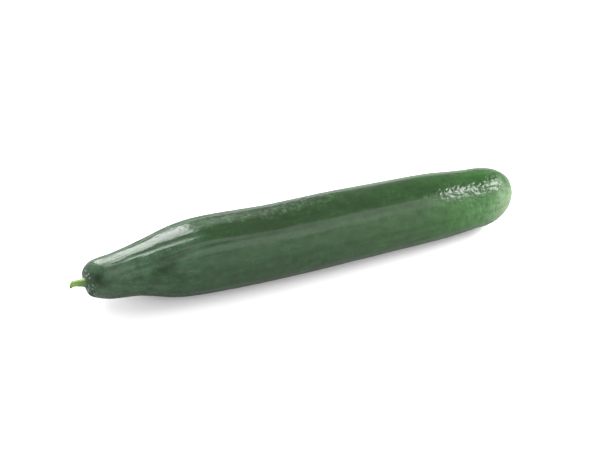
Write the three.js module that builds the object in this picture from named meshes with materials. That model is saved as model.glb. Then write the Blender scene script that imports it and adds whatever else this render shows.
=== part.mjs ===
// A long greenhouse cucumber, lying on its side: the fruit, and the stub of stem that it was cut with.
// Millimetres, +Z up. X runs along the fruit, from the stem at -X to the blossom end at +X, and the
// origin is under the middle of the whole, on the surface that the fruit rests on.
import * as THREE from "three";

// ---- Driving dimensions -------------------------------------------------------------------------

const FRUIT_LENGTH = 293.5;
const REST_DEPTH = 0.8; // how much of the round underside is pressed flat where it rests
const SETTLE = 2.5; // how far the middle of a thin end sinks towards the surface

// The fruit's radius at distances from its stem end, before the two ends are rounded off.
const GIRTH = [
  [0, 10.7],
  [12, 13.3],
  [24, 15.1],
  [36, 17.6],
  [54, 22.4],
  [70, 24.5],
  [90, 24.9],
  [120, 24.6],
  [160, 24.6],
  [200, 23.9],
  [235, 23],
  [265, 20.6],
  [293.5, 20.6],
];
// How far the middle of the fruit bows to +Y at distances from its stem end.
const BOW = [
  [0, 3.6],
  [16, 2],
  [35, 3],
  [70, 1.7],
  [120, 0],
  [180, 1.1],
  [240, 2.2],
  [293.5, 2.7],
];

// The two round ends: depth is how far each reaches along the fruit, and a higher power is blunter.
const STEM_END = { depth: 10, power: 3, dimple: 3, dimpleRadius: 8 };
const BLOSSOM_END = { depth: 28, power: 2.1, dimple: 0.6, dimpleRadius: 5 };
// Slopes of the two ends' faces, and how far along the fruit they reach: the stem end's upper lip is drawn
// back, and the blossom end's is drawn out.
const STEM_LEAN = { toY: 0.16, up: -0.28, reach: 26 };
const BLOSSOM_LEAN = { toY: 0.075, up: 0.075, reach: 45 };

const CARPELS = 3; // the fruit grows from three carpels, so its section is faintly three-sided
const CARPEL_SWELL = 0.012; // as a share of the radius
const RIBS = 10;
const NECK_RIB_HEIGHT = 0.028; // as a share of the radius
const BODY_RIB_HEIGHT = 0.006;
const NECK_END = 80; // distance from the stem end where the neck's strong ribs have faded out

const END_RINGS = 12;
const BODY_RINGS = 32;
const FRUIT_SIDES = 60;

// The stem's profile, base to cut end: [distance out from the fruit's tip, radius]. Its base follows the
// dimple that it grows from, with a gap of a third of a millimetre.
const STEM_PROFILE = [
  [-2.55, 0],
  [-2.35, 1.2],
  [-2, 2],
  [-1.3, 2.6],
  [-0.3, 2.7],
  [0.8, 2.4],
  [2, 2.1],
  [4.5, 1.9],
  [6.8, 1.9],
  [8.1, 2.1],
  [8.4, 1.9],
  [8.4, 0],
];
const STEM_OFFSET = { toY: -1.6, up: -1.6 }; // the dimple's middle, from the middle of the fruit's end
// The stem's middle at distances out: [distance, shift to +Y, shift up].
const STEM_BOW = [
  [-3, 0, 0],
  [0, 0.2, 0.2],
  [5, 1, 0.9],
  [9, 0.7, 0.4],
];
// The cut is drawn back on its upper side: degrees round from the top to +Y, millimetres back per
// millimetre of radius, and the length of stem that it bends.
const STEM_CUT = { towards: 50, slope: 0.75, reach: 2.6 };
const STEM_EDGES = 5;
const STEM_EDGE_HEIGHT = 0.07; // as a share of the radius
const STEM_SIDES = 20;

// ---- Shapes -------------------------------------------------------------------------------------

// A smooth curve through [distance, value] rows, read at any distance.
function through(rows) {
  const curve = new THREE.SplineCurve(rows.map(([at, value]) => new THREE.Vector2(at, value)));
  const last = rows.length - 1;
  return (at) => {
    let row = rows.findIndex(([distance]) => distance >= at);
    row = row < 0 ? last : Math.max(row, 1);
    const [from] = rows[row - 1];
    const [to] = rows[row];
    const share = THREE.MathUtils.clamp((at - from) / (to - from), 0, 1);
    return curve.getPoint((row - 1 + share) / last).y;
  };
}

const girth = through(GIRTH);
const bow = through(BOW);
const WIDEST = Math.max(...GIRTH.map(([, radius]) => radius));
const LYING_RADIUS = WIDEST * (1 - CARPEL_SWELL + BODY_RIB_HEIGHT); // it lies on one of its flatter sides

// Height of the fruit's middle: its underside stays straight where it is thick, and thin ends ride up.
function middleHeight(distance) {
  const thinner = WIDEST - girth(distance);
  return LYING_RADIUS - REST_DEPTH - SETTLE * Math.tanh(thinner / SETTLE);
}

// The ribs and the three carpels, as a share to add to the radius at an angle round the middle.
function swelling(angle, distance) {
  const neck = 1 - THREE.MathUtils.smoothstep(distance, 0, NECK_END);
  const rib = BODY_RIB_HEIGHT + (NECK_RIB_HEIGHT - BODY_RIB_HEIGHT) * neck;
  return CARPEL_SWELL * Math.cos(CARPELS * angle) + rib * Math.cos(RIBS * angle);
}

// How far a surface point near a tip is drawn in, by its distance from the dimple's middle.
function dimpling(radius, { dimple, dimpleRadius }) {
  return dimple * Math.max(0, 1 - (radius / dimpleRadius) ** 2) ** 2;
}

// A superellipse quarter from the tip to the full radius, as [distance from the tip, share of radius].
function roundEnd({ depth, power }) {
  const rows = [];
  for (let ring = 0; ring <= END_RINGS; ring++) {
    const turn = (Math.PI / 2) * (ring / END_RINGS);
    rows.push([depth * (1 - Math.cos(turn) ** (2 / power)), Math.sin(turn) ** (2 / power)]);
  }
  return rows;
}

function fruitProfile() {
  const rows = roundEnd(STEM_END);
  const from = STEM_END.depth;
  const to = FRUIT_LENGTH - BLOSSOM_END.depth;
  for (let ring = 1; ring < BODY_RINGS; ring++) {
    rows.push([from + ((to - from) * ring) / BODY_RINGS, 1]);
  }
  const blossom = roundEnd(BLOSSOM_END).reverse();
  rows.push(...blossom.map(([distance, share]) => [FRUIT_LENGTH - distance, share]));
  return rows.map(([distance, share]) => new THREE.Vector2(girth(distance) * share, distance));
}

// A lathe turned about its own Y, with each point then moved by place(distance, radius, angle).
function turned(profile, sides, place) {
  const geometry = new THREE.LatheGeometry(profile, sides);
  const position = geometry.getAttribute("position");
  const point = new THREE.Vector3();
  for (let i = 0; i < position.count; i++) {
    point.fromBufferAttribute(position, i);
    const moved = place(point.y, Math.hypot(point.x, point.z), Math.atan2(-point.x, point.z));
    position.setXYZ(i, ...moved);
  }
  geometry.computeVertexNormals();
  return geometry;
}

// How far the stem's cut is drawn back at a point, by its distance out, radius and angle.
function drawnBack(out, radius, angle) {
  const { towards, slope, reach } = STEM_CUT;
  const [length] = STEM_PROFILE[STEM_PROFILE.length - 1];
  const upper = 0.5 + 0.5 * Math.cos(angle - THREE.MathUtils.degToRad(towards));
  return slope * radius * upper * THREE.MathUtils.smoothstep(out, length - reach, length);
}

// How far an end's lean shifts a point along the fruit, by the point's distance from that end.
function leaning(fromEnd, toY, up, lean) {
  const fade = 1 - THREE.MathUtils.smoothstep(fromEnd, 0, lean.reach);
  return fade * (lean.toY * toY + lean.up * up);
}

// A point beside the fruit's middle line, by its distance from the stem end, its shift to +Y and its
// shift up. The stem end's face looks up and a little to the front, the blossom end's down and to the front.
function placed(distance, toY, up) {
  const atStem = leaning(distance, toY, up, STEM_LEAN);
  const atBlossom = leaning(FRUIT_LENGTH - distance, toY, up, BLOSSOM_LEAN);
  return [distance - atStem + atBlossom, bow(distance) + toY, middleHeight(distance) + up];
}

function fruit() {
  const geometry = turned(fruitProfile(), FRUIT_SIDES, (distance, radius, angle) => {
    const swollen = radius * (1 + swelling(angle, distance));
    const toY = swollen * Math.sin(angle);
    const up = swollen * Math.cos(angle);
    const stemDimple = dimpling(Math.hypot(toY - STEM_OFFSET.toY, up - STEM_OFFSET.up), STEM_END);
    const drawnIn = distance < FRUIT_LENGTH / 2 ? stemDimple : -dimpling(radius, BLOSSOM_END);
    const [x, y, z] = placed(distance + drawnIn, toY, up);
    return [x, y, Math.max(0, z)];
  });
  return named("fruit", geometry, { color: 0x2f5a2c, roughness: 0.35 });
}

function stem() {
  const profile = STEM_PROFILE.map(([out, radius]) => new THREE.Vector2(radius, -out)).reverse();
  const bowToY = through(STEM_BOW.map(([out, toY]) => [out, toY]));
  const bowUp = through(STEM_BOW.map(([out, , up]) => [out, up]));
  const geometry = turned(profile, STEM_SIDES, (distance, radius, angle) => {
    const edged = radius * (1 + STEM_EDGE_HEIGHT * Math.cos(STEM_EDGES * angle));
    const toY = STEM_OFFSET.toY + bowToY(-distance) + edged * Math.sin(angle);
    const up = STEM_OFFSET.up + bowUp(-distance) + edged * Math.cos(angle);
    return placed(distance + drawnBack(-distance, edged, angle), toY, up);
  });
  return named("stem", geometry, { color: 0x8fb350, roughness: 0.55 });
}

function named(name, geometry, { color, roughness }) {
  const material = new THREE.MeshStandardMaterial({ color, roughness, metalness: 0 });
  const mesh = new THREE.Mesh(geometry, material);
  mesh.name = name;
  return mesh;
}

const cucumber = new THREE.Group();
cucumber.add(fruit(), stem());
const box = new THREE.Box3().setFromObject(cucumber);
cucumber.position.set(-(box.min.x + box.max.x) / 2, -(box.min.y + box.max.y) / 2, 0);

export default cucumber;
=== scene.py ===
"""A whole long cucumber on a pale surface, in metres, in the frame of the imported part.

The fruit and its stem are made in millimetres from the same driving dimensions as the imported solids, with
the fine relief of the skin added, and are then brought to metres. Angles round the fruit count from its
top towards its back (+Y). Distances count from its stem end, and on the stem outwards from there.
"""

import math

import bpy
import numpy as np
from mathutils import Matrix, Vector, noise


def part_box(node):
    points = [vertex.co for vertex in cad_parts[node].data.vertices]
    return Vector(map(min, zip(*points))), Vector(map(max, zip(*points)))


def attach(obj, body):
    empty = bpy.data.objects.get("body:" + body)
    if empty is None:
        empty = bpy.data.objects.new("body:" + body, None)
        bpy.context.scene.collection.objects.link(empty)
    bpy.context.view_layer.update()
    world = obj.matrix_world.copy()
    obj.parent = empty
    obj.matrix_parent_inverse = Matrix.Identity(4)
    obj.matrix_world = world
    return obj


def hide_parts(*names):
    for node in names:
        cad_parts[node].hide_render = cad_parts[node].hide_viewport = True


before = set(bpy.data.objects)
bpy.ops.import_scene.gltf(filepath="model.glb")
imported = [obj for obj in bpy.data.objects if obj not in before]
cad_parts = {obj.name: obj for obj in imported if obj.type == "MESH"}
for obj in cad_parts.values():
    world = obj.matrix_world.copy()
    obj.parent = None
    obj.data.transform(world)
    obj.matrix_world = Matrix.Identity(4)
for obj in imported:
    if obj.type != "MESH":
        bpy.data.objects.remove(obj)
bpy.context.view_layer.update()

MM = 0.001

# ---- Driving dimensions of the fruit, in millimetres ----------------------------------------------

FRUIT_LENGTH = 293.5
REST_DEPTH = 0.8  # how much of the round underside is pressed flat
SETTLE = 2.5  # how far the middle of a thin end sinks towards the surface
# The fruit's radius at distances from its stem end, before the two ends are rounded off.
GIRTH = [
    (0, 10.7),
    (12, 13.3),
    (24, 15.1),
    (36, 17.6),
    (54, 22.4),
    (70, 24.5),
    (90, 24.9),
    (120, 24.6),
    (160, 24.6),
    (200, 23.9),
    (235, 23),
    (265, 20.6),
    (293.5, 20.6),
]
# How far the middle of the fruit bows to +Y at distances from its stem end.
BOW = [(0, 3.6), (16, 2), (35, 3), (70, 1.7), (120, 0), (180, 1.1), (240, 2.2), (293.5, 2.7)]
STEM_END = {"depth": 10, "power": 3, "dimple": 3, "dimple_radius": 8}
BLOSSOM_END = {"depth": 28, "power": 2.1, "dimple": 0.6, "dimple_radius": 5}
# Slopes of the two ends' faces, and how far along the fruit they reach.
STEM_LEAN = {"to_y": 0.16, "up": -0.28, "reach": 26}
BLOSSOM_LEAN = {"to_y": 0.075, "up": 0.075, "reach": 45}
CARPELS = 3
CARPEL_SWELL = 0.012  # as a share of the radius
BODY_RIB = 0.006  # as a share of the radius
WIDEST = max(radius for _, radius in GIRTH)
LYING_RADIUS = WIDEST * (1 - CARPEL_SWELL + BODY_RIB)  # it lies on one of its flatter sides

# ---- Driving dimensions of the stem, in millimetres -----------------------------------------------

# The stem's profile, base to cut end, as (distance out from the fruit's tip, radius), and its bend, as
# (distance out, shift to +Y, shift up) from the dimple that it grows from.
STEM_PROFILE = [
    (-2.9, 0),
    (-2.8, 1.3),
    (-2.5, 2.2),
    (-1.6, 2.75),
    (-0.5, 2.8),
    (0.7, 2.4),
    (1.9, 2.05),
    (4.5, 1.85),
    (6.4, 1.9),
    (7.3, 2.15),
    (8.0, 2.1),
    (8.4, 1.8),
    (8.55, 1.3),
    (8.6, 0),
]
STEM_LENGTH = STEM_PROFILE[-1][0]
STEM_RADIUS = 2.05  # at the cut
STEM_OFFSET = (-1.6, -1.6)  # the dimple's middle, to +Y and up, from the middle of the fruit's end
STEM_BEND = [(-3, 0, 0), (0, 0.2, 0.2), (5, 1, 0.9), (9, 0.7, 0.4)]
# The cut is drawn back on its upper side: degrees round from the top to +Y, millimetres back per
# millimetre of radius, and the length of stem that it bends.
STEM_CUT = {"towards": 50, "slope": 0.75, "reach": 2.6}
CUT_FACE = (8.3, 8.5)  # distances out between which the stem's side turns into the cut's face
CUT_SINK = 0.1  # how far the middle of the cut has dried in
STEM_EDGES = 5
STEM_EDGE_HEIGHT = 0.09  # as a share of the radius
STEM_EDGE_TWIST = 0.12  # turn of the edges in radians per millimetre, times their number
COLLAR_HEIGHT = 0.45  # as a share of the radius
COLLAR_GAP_DEPTH = 0.22
STEM_GRAIN_RADIUS = 2  # the stem's noise is that of a plain rod with this radius
STEM_RINGS = 90
STEM_SIDES = 60

# ---- Relief of the skin ---------------------------------------------------------------------------

FRUIT_RINGS = 470
FRUIT_SIDES = 208
# Spacing of the rings at distances from the stem end, in parts: they are closest where the skin is roughest.
RING_SPACING = [(0, 0.6), (12, 0.75), (60, 0.85), (190, 0.8), (230, 0.5), (FRUIT_LENGTH, 0.45)]
OUTLINE_END_POINTS = 400
OUTLINE_BODY_POINTS = 1200

# Furrows that run the length of the fruit, in degrees round it at the stem end and along the body.
FURROWS = [
    (-152, -148),
    (-118, -112),
    (-80, -74),
    (-50, -32),
    (-14, -12.5),
    (26, 26),
    (60, 57),
    (93, 91),
    (126, 130),
    (166, 168),
]
FURROW_WIDTHS = (3.8, 5.2)  # degrees, on the side towards the back and on the other side
FURROW_DRIFT = 2  # degrees that a furrow wanders on its way
FURROW_WAVE = 43  # millimetres of fruit to a radian of that wandering
FURROW_PHASE = 2.1  # radians between the wandering of a furrow and of the next
FURROW_STARTS = (21, 39)  # distances between which the furrows fade in
FURROW_TURNS = (5, 85)  # distances between which they pass from their stem end angle to their body angle
NECK_FURROW = 0.0255  # depth as a share of the radius
BODY_FURROW = 0.0045
NECK_FADE = (34, 114)  # distances between which the neck's strong furrows fade out

# Noise in the relief, as (height in millimetres, size along the fruit, size across it, seed). The height
# is 1 where the function that reads the noise sets it.
PATCHES = (1, 30, 16, 1)
SWELLS = (0.22, 44, 22, 2)
DENTS = (0.07, 13, 8, 3)
RIPPLES = (0.035, 6, 2.8, 9)
PEBBLES = (1, 1.5, 1.7, 4)
WRINKLES = (1, 1.4, 4.5, 5)
LUMPS = (0.28, 4, 3.2, 6)
KNOBS = (0.5, 1.1, 1.1, 10)
FIBRES = (0.05, 8, 0.9, 8)
STEM_KNOTS = (0.05, 3, 1.2, 7)  # on the stem, with a share of its radius as height
SEED_STEP = 17.3  # how far apart two seeds' noises lie
FIBRE_CURL = 3  # radius of the curl that is left in the skin when it is unrolled for its fibres
FIBRE_TOP = (3, 22)  # degrees round and width of the strip on the neck where the fibres are highest
BODY_FIBRES = 0.3  # height everywhere, as a share of what the neck adds
TOP_FIBRES = 2.6  # height that the strip on the neck's top adds, as a share of the same

SMOOTH_NECK = (45, 85)  # distances between which the smooth neck turns into the body
ROUGH_BLOSSOM = (212, 258)  # distances between which the body turns into the domed blossom end
ROUGH_BACK = (16, 24)  # degrees round and width of the pebbled strip along the top
ROUGH_BACK_STARTS = (42, 76)  # distances between which it fades in
ROUGH_BACK_ENDS = (140, 195)  # and out
DOME_SIZE = (3.4, 2.1, 2.1)
DOME_REACH = 0.8  # from a dome's top to its foot, as a share of its size
# Heights of the domes, pebbles and wrinkles.
BACK_DOMES = 0.34
BLOSSOM_DOMES = 0.44
LEAST_PEBBLES = 0.012  # and as much again in patches on the body
MORE_PEBBLES = 0.04  # on top of that, on the back and at the blossom end
NECK_WRINKLES = 0.006
BODY_WRINKLES = 0.02
BLOSSOM_WRINKLES = 0.008
TIP_FADE = (0.6, 5)  # radii between which the relief fades in round either tip

# Soft spots on the fruit, as (distance, degrees round, length in millimetres, width in degrees).
PALE_PATCH = (38, -42, 5.5, 15)
DARK_PATCH = (50, -55, 7, 12)
FAINT_PATCH = (56, -31, 9, 9)  # half as dark
# Painted shade on the stem end's shoulder, over its dent.
SHOULDER_SHADE = (7, -45, 4, 21)
SHOULDER_DENT = (9, -48, 4.5, 24)
SHOULDER_DEPTH = 0.7
# The same on the stem: its collar, and the gap opposite.
COLLAR = (0.6, 45, 1.8, 50)
COLLAR_GAP = (0.2, -135, 1.6, 60)

LUMPY_FACE = (1, 5)  # distance and width of the lumpy band round the stem end's face
DIMPLE_LIP = (8, 2.5)  # radius and width of the lip round the dimple at the stem end
LIP_ENDS = (3, 9)  # distances between which the lip fades out
SCAR_RADIUS = 2.9  # the dried flower's scar at the blossom end
SCAR_RIM = {"height": 0.3, "width": 0.55}
SCAR_NUB = {"height": 0.5, "width": 0.7}
SCAR_FLOOR = {"depth": 0.35, "slope": 1.2}
SCAR_EDGE = (SCAR_RADIUS - 0.7, SCAR_RADIUS + 0.5)  # radii between which its colour gives way to the skin's


def through(rows):
    """A smooth curve through (distance, value) rows, as a function of an array of distances."""
    at, value = np.array(rows, float).T
    last = len(at) - 1

    def curve(distance):
        row = np.clip(np.searchsorted(at, distance), 1, last)
        share = np.clip((distance - at[row - 1]) / (at[row] - at[row - 1]), 0, 1)
        here, there = value[row - 1], value[row]
        before = value[np.maximum(row - 2, 0)]
        after = value[np.minimum(row + 1, last)]
        leaving = (there - before) / 2
        arriving = (after - here) / 2
        cubic = 2 * here - 2 * there + leaving + arriving
        square = -3 * here + 3 * there - 2 * leaving - arriving
        return ((cubic * share + square) * share + leaving) * share + here

    return curve


girth = through(GIRTH)
bow = through(BOW)
stem_to_y = through([(out, to_y) for out, to_y, _ in STEM_BEND])
stem_up = through([(out, up) for out, _, up in STEM_BEND])


def smoothstep(value, low, high):
    share = np.clip((value - low) / (high - low), 0, 1)
    return share * share * (3 - 2 * share)


def hump(value, middle, width):
    """A soft bump of height 1 at middle."""
    return np.exp(-(((value - middle) / width) ** 2))


def around(angle, middle):
    """Degrees from middle to an angle round the fruit, from -180 to 180."""
    return (np.degrees(angle) - middle + 180) % 360 - 180


def spot(angle, distance, place):
    """A soft spot of height 1. place is its distance, degrees round, length and width."""
    at, middle, length, width = place
    return hump(distance, at, length) * hump(around(angle, middle), 0, width)


def noise_at(points, grain):
    """Smooth noise at points. grain is its height, its size along and across, and its seed."""
    height, along, across, seed = grain
    shifted = (points / np.array([along, across, across], float) + seed * SEED_STEP).reshape(-1, 3)
    return height * np.array([noise.noise(Vector(p)) for p in shifted]).reshape(points.shape[:-1])


def domes_at(points, size):
    """Low domes side by side, about size across, from 0 in the seams to 1 on top."""
    scaled = (points / np.array(size)).reshape(-1, 3)
    nearest = np.array([noise.voronoi(Vector(p))[0][0] for p in scaled])
    return 1 - np.minimum(nearest.reshape(points.shape[:-1]) / DOME_REACH, 1) ** 2


def middle_height(distance):
    return LYING_RADIUS - REST_DEPTH - SETTLE * np.tanh((WIDEST - girth(distance)) / SETTLE)


def dimpling(radius, end):
    return end["dimple"] * np.maximum(0, 1 - (radius / end["dimple_radius"]) ** 2) ** 2


def from_stem(to_y, up):
    """How far points lie from the middle of the stem's dimple, seen along the fruit."""
    return np.hypot(to_y - STEM_OFFSET[0], up - STEM_OFFSET[1])


def leaning(from_end, to_y, up, lean):
    """How far an end's lean shifts points along the fruit, by their distance from that end."""
    fade = 1 - smoothstep(from_end, 0, lean["reach"])
    return fade * (lean["to_y"] * to_y + lean["up"] * up)


def placed(distance, to_y, up):
    """Points beside the fruit's middle line, by distance from the stem end and shifts to +Y and up."""
    at_stem = leaning(distance, to_y, up, STEM_LEAN)
    at_blossom = leaning(FRUIT_LENGTH - distance, to_y, up, BLOSSOM_LEAN)
    x = distance - at_stem + at_blossom
    return np.stack([x, bow(distance) + to_y, middle_height(distance) + up], axis=-1)


def fruit_outline():
    """Distances from the stem end and radii along the fruit's outline, close together."""
    turn = np.linspace(0, math.pi / 2, OUTLINE_END_POINTS)

    def round_end(end):
        power = 2 / end["power"]
        return end["depth"] * (1 - np.cos(turn) ** power), np.sin(turn) ** power

    stem_at, stem_share = round_end(STEM_END)
    blossom_at, blossom_share = round_end(BLOSSOM_END)
    body_end = FRUIT_LENGTH - BLOSSOM_END["depth"]
    body = np.linspace(STEM_END["depth"], body_end, OUTLINE_BODY_POINTS)[1:-1]
    distance = np.concatenate([stem_at, body, FRUIT_LENGTH - blossom_at[::-1]])
    share = np.concatenate([stem_share, np.ones(len(body)), blossom_share[::-1]])
    return distance, girth(distance) * share


def fruit_profile():
    """The outline cut into rings."""
    distance, radius = fruit_outline()
    steps = np.hypot(np.diff(distance), np.diff(radius))
    spacing = np.interp(distance, *zip(*RING_SPACING))
    count = np.concatenate([[0], np.cumsum(steps / spacing[1:])])
    wanted = np.linspace(0, count[-1], FRUIT_RINGS)
    return np.interp(wanted, count, distance), np.interp(wanted, count, radius)


def furrows(angle, distance):
    """The furrows, from 0 between them to 1 at their floors."""
    total = np.zeros_like(angle)
    body = smoothstep(distance, *FURROW_TURNS)
    for number, (at_stem, on_body) in enumerate(FURROWS):
        wander = FURROW_DRIFT * np.sin(distance / FURROW_WAVE + FURROW_PHASE * number) * body
        middle = at_stem + (on_body - at_stem) * body + wander
        away = around(angle, middle)
        total += hump(away, 0, np.where(away > 0, *FURROW_WIDTHS))
    return total * smoothstep(distance, *FURROW_STARTS)


def dimple_lip(straight, distance):
    """From 0 to 1 along the lip of the dimple that the stem grows from."""
    ring = hump(from_stem(straight[..., 1], straight[..., 2]), *DIMPLE_LIP)
    return ring * (1 - smoothstep(distance, *LIP_ENDS))


def rough_back(angle, distance):
    """From 0 to 1 where the top of the body is pebbled."""
    middle, width = ROUGH_BACK
    length = smoothstep(distance, *ROUGH_BACK_STARTS) * (1 - smoothstep(distance, *ROUGH_BACK_ENDS))
    return hump(around(angle, middle), 0, width) * length


def neck_patches(angle, distance):
    """From -1 in the dark patches on the neck's front to 1 in its pale one."""
    dark = spot(angle, distance, DARK_PATCH) + 0.5 * spot(angle, distance, FAINT_PATCH)
    return spot(angle, distance, PALE_PATCH) - dark


def pebbling(straight, back, neck, blossom):
    """Pebbles all over, and domes along the back and at the blossom end."""
    patchy = smoothstep(noise_at(straight, PATCHES), -0.25, 0.35)
    pebble_height = LEAST_PEBBLES * (1 + patchy * (1 - neck)) + MORE_PEBBLES * (back + blossom)
    dome_height = (BACK_DOMES * back + BLOSSOM_DOMES * blossom) * (0.5 + 0.5 * patchy)
    return pebble_height * noise_at(straight, PEBBLES) + dome_height * domes_at(straight, DOME_SIZE)


def wrinkling(straight, neck, blossom):
    """Fine wrinkles that run round the body."""
    height = NECK_WRINKLES * neck + BODY_WRINKLES * (1 - neck)
    height += (BLOSSOM_WRINKLES - BODY_WRINKLES) * blossom
    return height * noise_at(straight, WRINKLES)


def fibres(angle, distance, radius, neck):
    """Fine ridges that run the length of the fruit, highest on top of the neck."""
    middle, width = FIBRE_TOP
    top = hump(around(angle, middle), 0, width)
    across = angle * radius + FIBRE_CURL * np.sin(angle)
    unrolled = np.stack([distance, across, FIBRE_CURL * np.cos(angle)], axis=-1)
    return (BODY_FIBRES + neck * (1 + TOP_FIBRES * top)) * noise_at(unrolled, FIBRES)


def stem_end_relief(straight, angle, distance):
    """The stem end's lumpy face, the dent in its shoulder and the knobs on its dimple's lip."""
    lumps = hump(distance, *LUMPY_FACE) * noise_at(straight, LUMPS)
    dent = -SHOULDER_DEPTH * spot(angle, distance, SHOULDER_DENT)
    return lumps + dent + dimple_lip(straight, distance) * noise_at(straight, KNOBS)


def skin_relief(straight, angle, distance, radius):
    """Height of the skin's relief in millimetres. straight is each point on the fruit unbent."""
    neck = 1 - smoothstep(distance, *SMOOTH_NECK)
    blossom = smoothstep(distance, *ROUGH_BLOSSOM)
    relief = noise_at(straight, SWELLS) + noise_at(straight, DENTS) + noise_at(straight, RIPPLES)
    relief += pebbling(straight, rough_back(angle, distance), neck, blossom)
    relief += wrinkling(straight, neck, blossom)
    relief += fibres(angle, distance, radius, neck)
    relief += stem_end_relief(straight, angle, distance)
    return relief * smoothstep(radius, *TIP_FADE)


def scar_relief(radius, angle):
    """The blossom scar: a rim round a sunken, cracked floor, in millimetres outwards."""
    uneven = radius * (1 + 0.07 * np.sin(3 * angle + 1) + 0.05 * np.sin(5 * angle))
    rim = SCAR_RIM["height"] * hump(uneven, SCAR_RADIUS, SCAR_RIM["width"])
    nub = SCAR_NUB["height"] * hump(uneven, 0, SCAR_NUB["width"])
    inside = 1 - smoothstep(uneven, SCAR_RADIUS - SCAR_FLOOR["slope"], SCAR_RADIUS)
    return rim + nub - SCAR_FLOOR["depth"] * inside


def rings_by_sides(along, radius, sides):
    """A ring's distance, angle and radius at each of its sides, for every ring."""
    angle = np.linspace(-math.pi, math.pi, sides, endpoint=False)
    along, angle = np.meshgrid(along, angle, indexing="ij")
    return along, angle, np.repeat(radius[:, None], sides, axis=1)


def unbent(along, angle, radius):
    """Points on a straight tube, which the noise and the materials are read at."""
    return np.stack([along, radius * np.sin(angle), radius * np.cos(angle)], axis=-1)


def fruit_points():
    """The fruit's surface as an array of rings by sides by 3, and the fields that its material reads."""
    distance, angle, radius = rings_by_sides(*fruit_profile(), FRUIT_SIDES)
    straight = unbent(distance, angle, radius)
    groove = furrows(angle, distance)
    neck = 1 - smoothstep(distance, *NECK_FADE)
    groove_depth = BODY_FURROW + (NECK_FURROW - BODY_FURROW) * neck
    swollen = radius * (1 + CARPEL_SWELL * np.cos(CARPELS * angle) - groove_depth * groove)
    swollen += skin_relief(straight, angle, distance, radius)
    to_y, up = swollen * np.sin(angle), swollen * np.cos(angle)

    stem_dimple = dimpling(from_stem(to_y, up), STEM_END)
    blossom_dimple = dimpling(radius, BLOSSOM_END) - scar_relief(radius, angle)
    drawn_in = np.where(distance < FRUIT_LENGTH / 2, stem_dimple, -blossom_dimple)
    points = placed(distance + drawn_in, to_y, up)
    points[..., 2] = np.maximum(points[..., 2], 0)

    at_blossom = distance > FRUIT_LENGTH - BLOSSOM_END["depth"]
    fields = {
        "straight": straight,
        "groove": groove,
        "scar": np.where(at_blossom, 1 - smoothstep(radius, *SCAR_EDGE), 0),
        "dimple": np.where(at_blossom, 0, stem_dimple / STEM_END["dimple"]),
        "lip": dimple_lip(straight, distance),
        "back": rough_back(angle, distance),
        "patch": neck_patches(angle, distance),
        # Where painted shade darkens the stem end's shoulder.
        "shoulder": spot(angle, distance, SHOULDER_SHADE),
    }
    return points, fields


def stem_profile():
    """The stem's profile cut into rings."""
    out, radius = np.array(STEM_PROFILE, float).T
    length = np.concatenate([[0], np.cumsum(np.hypot(np.diff(out), np.diff(radius)))])
    wanted = np.linspace(0, length[-1], STEM_RINGS)
    return np.interp(wanted, length, out), np.interp(wanted, length, radius)


def stem_points():
    """The stem's surface as an array of rings by sides by 3, and the fields that its material reads."""
    out, angle, radius = rings_by_sides(*stem_profile(), STEM_SIDES)
    straight = unbent(out, angle, STEM_GRAIN_RADIUS)
    edges = np.cos(STEM_EDGES * angle + STEM_EDGE_TWIST * out)
    collar = spot(angle, out, COLLAR)
    edged = radius * (1 + STEM_EDGE_HEIGHT * edges + noise_at(straight, STEM_KNOTS))
    edged *= 1 + COLLAR_HEIGHT * collar - COLLAR_GAP_DEPTH * spot(angle, out, COLLAR_GAP)

    cut = smoothstep(out, *CUT_FACE)
    rim = radius / STEM_RADIUS
    sunk = CUT_SINK * cut * smoothstep(1 - rim, 0.15, 0.5)
    upper = edged * (0.5 + 0.5 * np.cos(angle - math.radians(STEM_CUT["towards"])))
    drawn_back = STEM_CUT["slope"] * upper * smoothstep(out, STEM_LENGTH - STEM_CUT["reach"], STEM_LENGTH)
    points = placed(
        drawn_back + sunk - out,
        STEM_OFFSET[0] + stem_to_y(out) + edged * np.sin(angle),
        STEM_OFFSET[1] + stem_up(out) + edged * np.cos(angle),
    )
    fields = {"straight": straight, "cut": cut, "rim": rim, "ridge": edges, "collar": collar}
    return points, fields


def ring_vertices(values):
    """Values per ring and side as one row per vertex of a tube whose two end rings are single points."""
    first, last = values[0].mean(axis=0), values[-1].mean(axis=0)
    return np.concatenate([first[None], values[1:-1].reshape(-1, *values.shape[2:]), last[None]])


def tube_faces(rings, sides):
    """The faces of that tube: quads between its rings, and a fan of triangles at either end."""
    tail = 1 + (rings - 3) * sides
    end = tail + sides
    faces = []
    for side in range(sides):
        after = (side + 1) % sides
        faces.append((0, 1 + after, 1 + side))
        faces.append((end, tail + side, tail + after))
        for ring in range(rings - 3):
            near = 1 + ring * sides
            far = near + sides
            faces.append((near + side, near + after, far + after, far + side))
    return faces


def closed_tube(name, points, fields):
    """A closed mesh from rings of points in millimetres, with its fields as attributes."""
    rings, sides, _ = points.shape
    mesh = bpy.data.meshes.new(name)
    mesh.from_pydata((ring_vertices(points) * MM).tolist(), [], tube_faces(rings, sides))
    mesh.shade_smooth()
    for field, values in fields.items():
        values = ring_vertices(values)
        kind, slot = ("FLOAT_VECTOR", "vector") if values.ndim == 2 else ("FLOAT", "value")
        attribute = mesh.attributes.new(field, kind, "POINT")
        attribute.data.foreach_set(slot, values.astype(np.float32).ravel())
    piece = bpy.data.objects.new(name, mesh)
    bpy.context.scene.collection.objects.link(piece)
    return piece


# ---- Materials --------------------------------------------------------------------------------------


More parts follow.
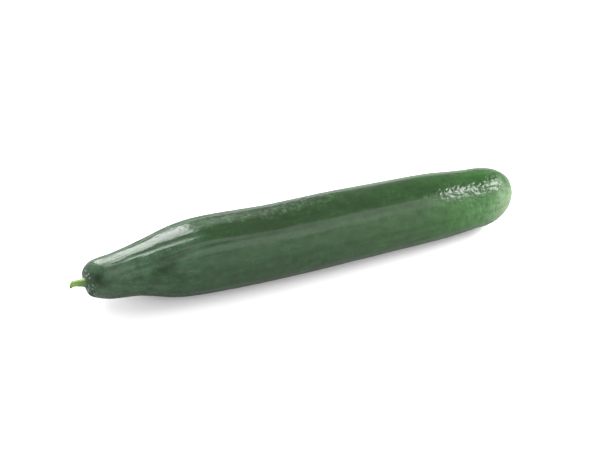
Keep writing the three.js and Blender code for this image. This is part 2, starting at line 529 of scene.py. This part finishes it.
class Shader:
    """A node material whose nodes are added one after another."""

    def __init__(self, name, **constants):
        self.material = bpy.data.materials.new(name)
        self.material.use_nodes = True
        self.tree = self.material.node_tree
        self.surface = self.tree.nodes["Principled BSDF"]
        self.finish(**constants)

    def put(self, socket, value):
        """Links an output to an input socket, or sets the socket to a plain value."""
        if isinstance(value, bpy.types.NodeSocket):
            self.tree.links.new(value, socket)
        else:
            socket.default_value = value

    def field(self, name, output="Fac"):
        node = self.tree.nodes.new("ShaderNodeAttribute")
        node.attribute_name = name
        return node.outputs[output]

    def first_axis(self, vector):
        node = self.tree.nodes.new("ShaderNodeSeparateXYZ")
        self.put(node.inputs[0], vector)
        return node.outputs["X"]

    def math(self, operation, *values):
        node = self.tree.nodes.new("ShaderNodeMath")
        node.operation = operation
        for socket, value in zip(node.inputs, values):
            self.put(socket, value)
        return node.outputs[0]

    def add(self, total, *others):
        for other in others:
            total = self.math("ADD", total, other)
        return total

    def times(self, product, *others):
        for other in others:
            product = self.math("MULTIPLY", product, other)
        return product

    def swing(self, value, amount):
        """value, from 0 to 1, as a swing about 0 that spans amount."""
        return self.times(self.math("SUBTRACT", value, 0.5), amount)

    def range(self, value, low, high, to_low=0, to_high=1):
        """value from low to high becomes to_low to to_high, smoothly and no further."""
        node = self.tree.nodes.new("ShaderNodeMapRange")
        node.interpolation_type = "SMOOTHSTEP"
        for socket, number in zip(node.inputs, (value, low, high, to_low, to_high)):
            self.put(socket, number)
        return node.outputs[0]

    def facing(self, vector, degrees, radius):
        """About 1 where a point at radius lies at an angle round the fruit, and -1 opposite."""
        node = self.tree.nodes.new("ShaderNodeVectorMath")
        node.operation = "DOT_PRODUCT"
        turn = math.radians(degrees)
        self.put(node.inputs[0], vector)
        node.inputs[1].default_value = (0, math.sin(turn) / radius, math.cos(turn) / radius)
        return node.outputs["Value"]

    def stretched(self, vector, along, across):
        node = self.tree.nodes.new("ShaderNodeMapping")
        self.put(node.inputs["Vector"], vector)
        node.inputs["Scale"].default_value = (along, across, across)
        return node.outputs[0]

    def swayed(self, vector, scale, amount):
        """vector pushed about by up to half of amount, by waves of about 1 / scale."""
        wave = self.tree.nodes.new("ShaderNodeTexNoise")
        self.put(wave.inputs["Vector"], vector)
        wave.inputs["Scale"].default_value = scale
        wave.inputs["Detail"].default_value = 1
        pushed = self.tree.nodes.new("ShaderNodeVectorMath")
        pushed.operation = "MULTIPLY_ADD"
        self.put(pushed.inputs[0], wave.outputs["Color"])
        pushed.inputs[1].default_value = (amount, amount, amount)
        self.put(pushed.inputs[2], vector)
        return pushed.outputs[0]

    def noise(self, vector, scale=1, detail=2, rough=0.5):
        node = self.tree.nodes.new("ShaderNodeTexNoise")
        self.put(node.inputs["Vector"], vector)
        node.inputs["Scale"].default_value = scale
        node.inputs["Detail"].default_value = detail
        node.inputs["Roughness"].default_value = rough
        return node.outputs["Fac"]

    def cells(self, vector, scale, feature="F1"):
        node = self.tree.nodes.new("ShaderNodeTexVoronoi")
        node.feature = feature
        self.put(node.inputs["Vector"], vector)
        node.inputs["Scale"].default_value = scale
        return node.outputs["Distance"]

    def ramp(self, value, stops):
        """A colour that follows (place, (red, green, blue)) stops."""
        node = self.tree.nodes.new("ShaderNodeValToRGB")
        self.put(node.inputs[0], value)
        ramp = node.color_ramp
        while len(ramp.elements) < len(stops):
            ramp.elements.new(1)
        for element, (place, colour) in zip(ramp.elements, stops):
            element.position = place
            element.color = (*colour, 1)
        return node.outputs[0]

    def mix(self, share, below, above):
        node = self.tree.nodes.new("ShaderNodeMix")
        node.data_type = "RGBA"
        self.put(node.inputs["Factor"], share)
        for socket, colour in (("A", below), ("B", above)):
            inlet = next(i for i in node.inputs if i.name == socket and i.type == "RGBA")
            self.put(inlet, colour if isinstance(colour, bpy.types.NodeSocket) else (*colour, 1))
        return next(o for o in node.outputs if o.type == "RGBA")

    def lighten(self, colour, amount):
        """colour times amount, a number or an output."""
        node = self.tree.nodes.new("ShaderNodeVectorMath")
        node.operation = "SCALE"
        self.put(node.inputs[0], colour)
        self.put(node.inputs["Scale"], amount)
        return node.outputs[0]

    def bump(self, height, distance, below=None):
        """The normal of height, from 0 to 1, as relief of so many millimetres, on top of another normal."""
        node = self.tree.nodes.new("ShaderNodeBump")
        node.inputs["Distance"].default_value = distance * MM
        self.put(node.inputs["Height"], height)
        if below is not None:
            self.put(node.inputs["Normal"], below)
        return node.outputs[0]

    def finish(self, **inputs):
        """Sets the surface's inputs, named with _ for a space, and gives the material."""
        for socket, value in inputs.items():
            self.put(self.surface.inputs[socket.replace("_", " ")], value)
        return self.material


# The skin's colour at shares of the fruit's length, from the stem end: on the side that faced the sun,
# and on the paler side that hung in the shade, made lighter still by painted light bounced and reflected from
# the floor.
SUNNY_COLOURS = [
    (0.0, (0.0400, 0.0800, 0.0420)),
    (0.07, (0.0360, 0.0730, 0.0370)),
    (0.14, (0.0260, 0.0600, 0.0280)),
    (0.20, (0.0230, 0.0570, 0.0240)),
    (0.28, (0.0160, 0.0420, 0.0145)),
    (0.38, (0.0155, 0.0340, 0.0125)),
    (0.60, (0.0155, 0.0395, 0.0128)),
    (0.72, (0.0155, 0.0430, 0.0120)),
    (0.83, (0.0165, 0.0540, 0.0118)),
    (0.905, (0.0200, 0.0700, 0.0150)),
    (0.96, (0.0320, 0.0980, 0.0250)),
    (1.0, (0.1200, 0.2200, 0.0900)),
]
PAINTED_BOUNCE_AND_PALE_SIDE_COLOURS = [
    (0.0, (0.0420, 0.0810, 0.0440)),
    (0.07, (0.0380, 0.0770, 0.0400)),
    (0.14, (0.0320, 0.0740, 0.0340)),
    (0.22, (0.0290, 0.0710, 0.0300)),
    (0.30, (0.0265, 0.0600, 0.0250)),
    (0.40, (0.0255, 0.0600, 0.0235)),
    (0.51, (0.0275, 0.0630, 0.0250)),
    (0.62, (0.0315, 0.0730, 0.0280)),
    (0.74, (0.0310, 0.0760, 0.0260)),
    (0.83, (0.0390, 0.1120, 0.0300)),
    (0.905, (0.0700, 0.1720, 0.0580)),
    (0.955, (0.1700, 0.2750, 0.1430)),
    (1.0, (0.2300, 0.3300, 0.2000)),
]
PALE_SIDE = -85  # degrees round the fruit
PALE_BACK = 75
BODY_RADIUS = 20  # in millimetres, at which the sides' shares are reckoned
NECK_SHARES = (0.16, 0.3)  # shares of the length between which the neck's look gives way
BLOSSOM_SHARES = (0.66, 0.9)  # and between which the blossom end's comes in

# Partly a paler skin, partly a painted reflection along the top rim.
PALE_BACK_AND_PAINTED_RIM_GREEN = (0.045, 0.125, 0.04)
DOT_GREEN = (0.09, 0.17, 0.08)
# Painted glints on the back's pebbles.
PEBBLE_PAINTED_GLINT_GREEN = (0.045, 0.105, 0.045)
# Painted shade in the furrows.
FURROW_PAINTED_SHADE = (0.008, 0.02, 0.008)
# Painted shade on the stem end's shoulder.
SHOULDER_PAINTED_SHADE = (0.006, 0.016, 0.006)
LIP_GREEN = (0.012, 0.03, 0.012)
# Painted glints on the lip round the stem's dimple.
LIP_PAINTED_GLINT_GREEN = (0.24, 0.31, 0.24)
DIMPLE_GREEN = (0.09, 0.15, 0.045)
DARK_CORK = (0.13, 0.11, 0.06)
PALE_CORK = (0.36, 0.33, 0.22)
CRACK_BROWN = (0.05, 0.045, 0.025)


class SkinShader(Shader):
    """The fruit's skin, layer by layer, with the fields that its layers share. Lengths are in millimetres."""

    def __init__(self):
        super().__init__("cucumber_skin", IOR=1.4)
        self.straight = self.field("straight", "Vector")
        self.distance = self.first_axis(self.straight)
        self.along = self.math("DIVIDE", self.distance, FRUIT_LENGTH)
        self.neck = self.range(self.along, *NECK_SHARES, 1, 0)
        self.blossom = self.range(self.along, *BLOSSOM_SHARES)
        self.groove = self.range(self.field("groove"), 0.2, 1)
        self.lip = self.range(self.field("lip"), 0.15, 0.7)
        self.scar = self.field("scar")
        self.mottle = self.noise(self.stretched(self.straight, 0.12, 0.2), detail=4, rough=0.6)
        self.grain = self.noise(self.straight, scale=2.2, detail=4, rough=0.7)

    def ground_colour(self):
        """The colours of the sunny side and of the paler side with painted floor bounce, which meet in a
        wandering line, and the pale back with a painted rim reflection.
        """
        drift = self.noise(self.stretched(self.straight, 0.02, 0.05))
        shifted = self.add(self.along, self.swing(drift, 0.08))
        front = self.facing(self.straight, PALE_SIDE, BODY_RADIUS)
        front = self.add(front, self.times(drift, 0.3), self.range(self.along, 0.91, 0.98, 0, 0.28))
        back = self.facing(self.straight, PALE_BACK, BODY_RADIUS)
        # Share of the paler colours with painted floor bounce: on the low front side, and over the back for
        # its painted rim.
        shade = self.math("MAXIMUM", self.range(front, 0.58, 1.25), self.range(back, 0.5, 0.9, 0, 0.85))
        colour = self.mix(shade, self.ramp(shifted, SUNNY_COLOURS), self.ramp(shifted, PAINTED_BOUNCE_AND_PALE_SIDE_COLOURS))
        # Paler back towards the blossom end: partly paler skin, partly a painted reflection along the top
        # rim.
        pale = self.times(self.range(back, 0.55, 0.95, 0, 0.6), self.range(self.along, 0.5, 0.7))
        return self.mix(pale, colour, PALE_BACK_AND_PAINTED_RIM_GREEN)

    def mottled(self, colour):
        """colour with its mottling, streaks along the fruit, rings round it and the neck's patches."""
        streaks = self.noise(self.stretched(self.straight, 0.02, 0.35), detail=3, rough=0.6)
        waves = self.stretched(self.swayed(self.straight, 0.16, 5), 0.55, 0.12)
        rings = self.noise(waves, detail=3, rough=0.6)
        tone = self.add(
            1,
            self.swing(self.mottle, self.range(self.neck, 0, 1, 0.9, 2)),
            self.swing(streaks, 0.4),
            self.swing(rings, self.range(self.blossom, 0, 1, 0.3, 1.1)),
            self.times(self.field("patch"), self.range(self.mottle, 0.35, 0.6, 0.2, 0.5)),
        )
        return self.lighten(colour, tone)

    def spotted(self, colour):
        """colour with its pale dots, pale specks on the back's pebbles that are painted glints, and painted
        shade on the floors of the furrows.
        """
        dots = self.times(
            self.range(self.cells(self.straight, 0.5), 0.1, 0.3, 1, 0),
            self.range(self.mottle, 0.48, 0.6, 0.06, 0.6),
            self.range(self.neck, 0, 1, 0.3, 1),
        )
        # Pale specks on the back's pebbles: painted glints.
        pebbles = self.times(
            self.range(self.cells(self.swayed(self.straight, 0.9, 1.6), 0.4), 0.1, 0.65, 1, 0),
            self.range(self.mottle, 0.4, 0.58, 0.1, 0.7),
            self.range(self.field("back"), 0.15, 0.8),
        )
        colour = self.mix(dots, colour, DOT_GREEN)
        colour = self.mix(pebbles, colour, PEBBLE_PAINTED_GLINT_GREEN)
        # Painted shade on the floors of the furrows.
        return self.mix(self.times(self.groove, 0.16), colour, FURROW_PAINTED_SHADE)

    def with_blossom_scar(self, colour):
        """colour with cracked cork on the scar."""
        crack = self.range(self.cells(self.straight, 1.1, "DISTANCE_TO_EDGE"), 0.02, 0.16)
        cork = self.mix(crack, CRACK_BROWN, self.mix(self.grain, DARK_CORK, PALE_CORK))
        return self.mix(self.scar, colour, cork)

    def with_stem_end(self, colour):
        """colour with painted shade on the shoulder, the darker lip with pale specks that are painted glints,
        and the green floor of the dimple.
        """
        # Pale specks on the lip: painted glints.
        painted_lip_glints = self.times(
            self.range(self.cells(self.swayed(self.straight, 0.9, 2.4), 0.42), 0.24, 0.4, 1, 0),
            self.range(self.grain, 0.3, 0.55, 0.1, 0.9),
            self.lip,
        )
        # Painted shade on the stem end's shoulder, over its dent.
        colour = self.mix(self.times(self.field("shoulder"), 0.75), colour, SHOULDER_PAINTED_SHADE)
        colour = self.mix(self.times(self.lip, 0.4), colour, LIP_GREEN)
        # Painted glints on the lip.
        colour = self.mix(painted_lip_glints, colour, LIP_PAINTED_GLINT_GREEN)
        return self.mix(self.range(self.field("dimple"), 0.35, 0.9), colour, DIMPLE_GREEN)

    def roughness(self):
        """Smudged and worn, and duller near the stem, in the neck's furrows, on the scar and on the lip."""
        smudge = self.noise(self.stretched(self.straight, 0.06, 0.1), detail=5, rough=0.65)
        worn = self.noise(self.stretched(self.straight, 0.05, 0.7), detail=3, rough=0.6)
        bloom = self.times(self.range(self.distance, 9, 14), self.range(self.distance, 20, 36, 1, 0))
        return self.add(
            self.range(smudge, 0.3, 0.7, 0.12, 0.2),
            self.range(worn, 0.4, 0.7, 0, 0.09),
            self.times(bloom, 0.14),
            self.times(self.groove, self.neck, 0.2),
            self.times(self.scar, 0.4),
            self.times(self.lip, 0.35),
        )

    def normal(self):
        """Pores, creases round the fruit, and a finer grain on them."""
        pores = self.noise(self.stretched(self.straight, 0.55, 0.85))
        creases = self.noise(self.stretched(self.straight, 1.1, 0.16))
        pore_height = self.add(self.range(self.along, 0.72, 0.88, 0.5, 3.4), self.neck)
        crease_height = self.range(self.blossom, 0, 1, 1, 0.4)
        height = self.add(self.times(pores, pore_height), self.times(creases, crease_height))
        return self.bump(self.grain, 0.012, self.bump(height, 0.05))


def skin_material():
    skin = SkinShader()
    colour = skin.spotted(skin.mottled(skin.ground_colour()))
    colour = skin.with_stem_end(skin.with_blossom_scar(colour))
    return skin.finish(Base_Color=colour, Roughness=skin.roughness(), Normal=skin.normal())


# The stem's colour from its base to its cut, and the cut's colour from its middle to its rim.
STEM_COLOURS = [
    (0.0, (0.035, 0.075, 0.028)),
    (0.25, (0.055, 0.12, 0.026)),
    (0.5, (0.085, 0.185, 0.028)),
    (1.0, (0.14, 0.23, 0.045)),
]
CUT_COLOURS = [
    (0.0, (0.30, 0.42, 0.14)),
    (0.45, (0.22, 0.36, 0.09)),
    (0.72, (0.07, 0.14, 0.025)),
    (1.0, (0.04, 0.09, 0.015)),
]
RIDGE_GREEN = (0.24, 0.36, 0.10)
COLLAR_GREEN = (0.42, 0.52, 0.26)
BRUISE_BROWN = (0.045, 0.05, 0.015)


def stem_material():
    stem = Shader("cucumber_stem", IOR=1.42)
    straight = stem.field("straight", "Vector")
    out = stem.first_axis(straight)
    fibre = stem.noise(stem.stretched(straight, 0.25, 2.6), detail=4, rough=0.6)
    grain = stem.noise(straight, scale=3.5, detail=4, rough=0.7)

    side = stem.ramp(stem.range(out, -2, 8.5), STEM_COLOURS)
    side = stem.lighten(side, stem.range(fibre, 0.25, 0.75, 1, 1.75))
    side = stem.mix(stem.range(stem.field("ridge"), 0.2, 1, 0, 0.3), side, RIDGE_GREEN)
    side = stem.mix(stem.field("collar"), side, COLLAR_GREEN)
    bruise = stem.times(stem.range(out, 6.9, 7.9), stem.range(fibre, 0.42, 0.62), 0.6)
    side = stem.mix(bruise, side, BRUISE_BROWN)
    face = stem.ramp(stem.field("rim"), CUT_COLOURS)
    face = stem.lighten(face, stem.range(grain, 0.25, 0.75, 0.7, 1.25))
    colour = stem.mix(stem.field("cut"), side, face)

    roughness = stem.range(grain, 0.3, 0.7, 0.38, 0.55)
    normal = stem.bump(stem.add(fibre, stem.times(grain, 0.5)), 0.12)
    return stem.finish(Base_Color=colour, Roughness=roughness, Normal=normal)


# ---- Pieces -----------------------------------------------------------------------------------------


def add_piece(name, points, fields, material, node):
    piece = closed_tube(name, points, fields)
    piece.data.materials.append(material)
    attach(piece, "root")
    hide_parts(node)


def make_cucumber():
    """Makes both pieces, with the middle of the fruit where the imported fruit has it."""
    fruit, fruit_fields = fruit_points()
    stem, stem_fields = stem_points()
    low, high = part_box("fruit")
    shift = np.zeros(3)
    for axis in (0, 1):
        middle = (low[axis] + high[axis]) / 2 / MM
        shift[axis] = middle - (fruit[..., axis].min() + fruit[..., axis].max()) / 2
    add_piece("fruit_skin", fruit + shift, fruit_fields, skin_material(), "fruit")
    add_piece("cut_stem", stem + shift, stem_fields, stem_material(), "stem")


# ---- Camera, floor and lights ------------------------------------------------------------------------

CAMERA_AZIMUTH = 16.61  # degrees that the view turns to +X from straight along +Y
CAMERA_ELEVATION = 45
CAMERA_DISTANCE = 453
CAMERA_AIM = (-0.8, 7.4, 25)
LENS = 41.04
SENSOR = 36

FLOOR_SIZE = 8  # metres
FLOOR_GREY = (0.40, 0.40, 0.40)  # as the fruit sees it
FLOOR_SEEN = (0.85, 0.85, 0.85)  # as the camera sees it, with a faint glow
FLOOR_GLOW = 0.12
ROOM_LIGHT = 0.5

# Softboxes: name, tilt, across, their spans, radiance and roll. Angles are in degrees, as in towards().
SOFTBOXES = [
    ("key", -23, 138, (24, 48), 12, 2),
    ("left", -28, 82, (30, 50), 0.5, 0),
    ("front", 11, 55, (88, 28), 1.85, 0),
    ("low_front", 11, 14, (88, 44), 0.7, 0),
    ("back", 2, 145, (14, 34), 1.65, 0),
    ("side", 49.5, 84, (28, 17), 19, 60),
    ("end", 72, 70, (20, 60), 3, 0),
]
SOFTBOX_DISTANCE = 1.3  # metres


def make_camera():
    data = bpy.data.cameras.new("camera")
    data.lens = LENS
    data.sensor_width = SENSOR
    data.clip_start = 0.01
    data.clip_end = 50
    camera = bpy.data.objects.new("camera", data)
    bpy.context.scene.collection.objects.link(camera)
    turn, drop = math.radians(CAMERA_AZIMUTH), math.radians(CAMERA_ELEVATION)
    forward = Vector((math.sin(turn) * math.cos(drop), math.cos(turn) * math.cos(drop), -math.sin(drop)))
    camera.location = (Vector(CAMERA_AIM) - forward * CAMERA_DISTANCE) * MM
    camera.rotation_euler = forward.to_track_quat("-Z", "Y").to_euler()
    bpy.context.scene.camera = camera


def make_floor():
    bpy.ops.mesh.primitive_plane_add(size=FLOOR_SIZE, location=(0, 0, 0))
    floor = bpy.context.object
    floor.name = "floor"
    paper = Shader("paper", Roughness=0.9, Specular_IOR_Level=0, Emission_Color=(1, 0.97, 1, 1))
    seen = paper.tree.nodes.new("ShaderNodeLightPath").outputs["Is Camera Ray"]
    colour = paper.mix(seen, FLOOR_GREY, FLOOR_SEEN)
    glow = paper.times(seen, FLOOR_GLOW)
    floor.data.materials.append(paper.finish(Base_Color=colour, Emission_Strength=glow))


def make_room():
    world = bpy.data.worlds.new("room")
    world.use_nodes = True
    background = world.node_tree.nodes["Background"]
    background.inputs["Color"].default_value = (1, 1, 1, 1)
    background.inputs["Strength"].default_value = ROOM_LIGHT
    bpy.context.scene.world = world


def towards(tilt, across):
    """The direction to a light: across turns from the front horizon (0) over the top (90) to the back
    (180), and tilt leans it to +X, in degrees."""
    tilt, across = math.radians(tilt), math.radians(across)
    return Vector((math.sin(tilt), -math.cos(tilt) * math.cos(across), math.cos(tilt) * math.sin(across)))


def add_softbox(name, tilt, across, span, radiance, roll):
    """A rectangle light aimed at the fruit, that spans so many degrees of tilt and of across."""
    to_light = towards(tilt, across)
    along = (towards(tilt + 0.1, across) - to_light).normalized()
    over = to_light.cross(along)
    turn = Matrix((along, over, to_light)).transposed().to_4x4() @ Matrix.Rotation(math.radians(roll), 4, "Z")
    width, height = (2 * SOFTBOX_DISTANCE * math.tan(math.radians(degrees / 2)) for degrees in span)
    data = bpy.data.lights.new(name, "AREA")
    data.shape = "RECTANGLE"
    data.size = width
    data.size_y = height
    data.energy = radiance * math.pi * width * height
    light = bpy.data.objects.new(name, data)
    bpy.context.scene.collection.objects.link(light)
    light.matrix_world = Matrix.Translation(to_light * SOFTBOX_DISTANCE) @ turn


make_camera()
make_cucumber()
make_floor()
make_room()
for softbox in SOFTBOXES:
    add_softbox(*softbox)
bpy.context.scene.view_settings.view_transform = "Standard"
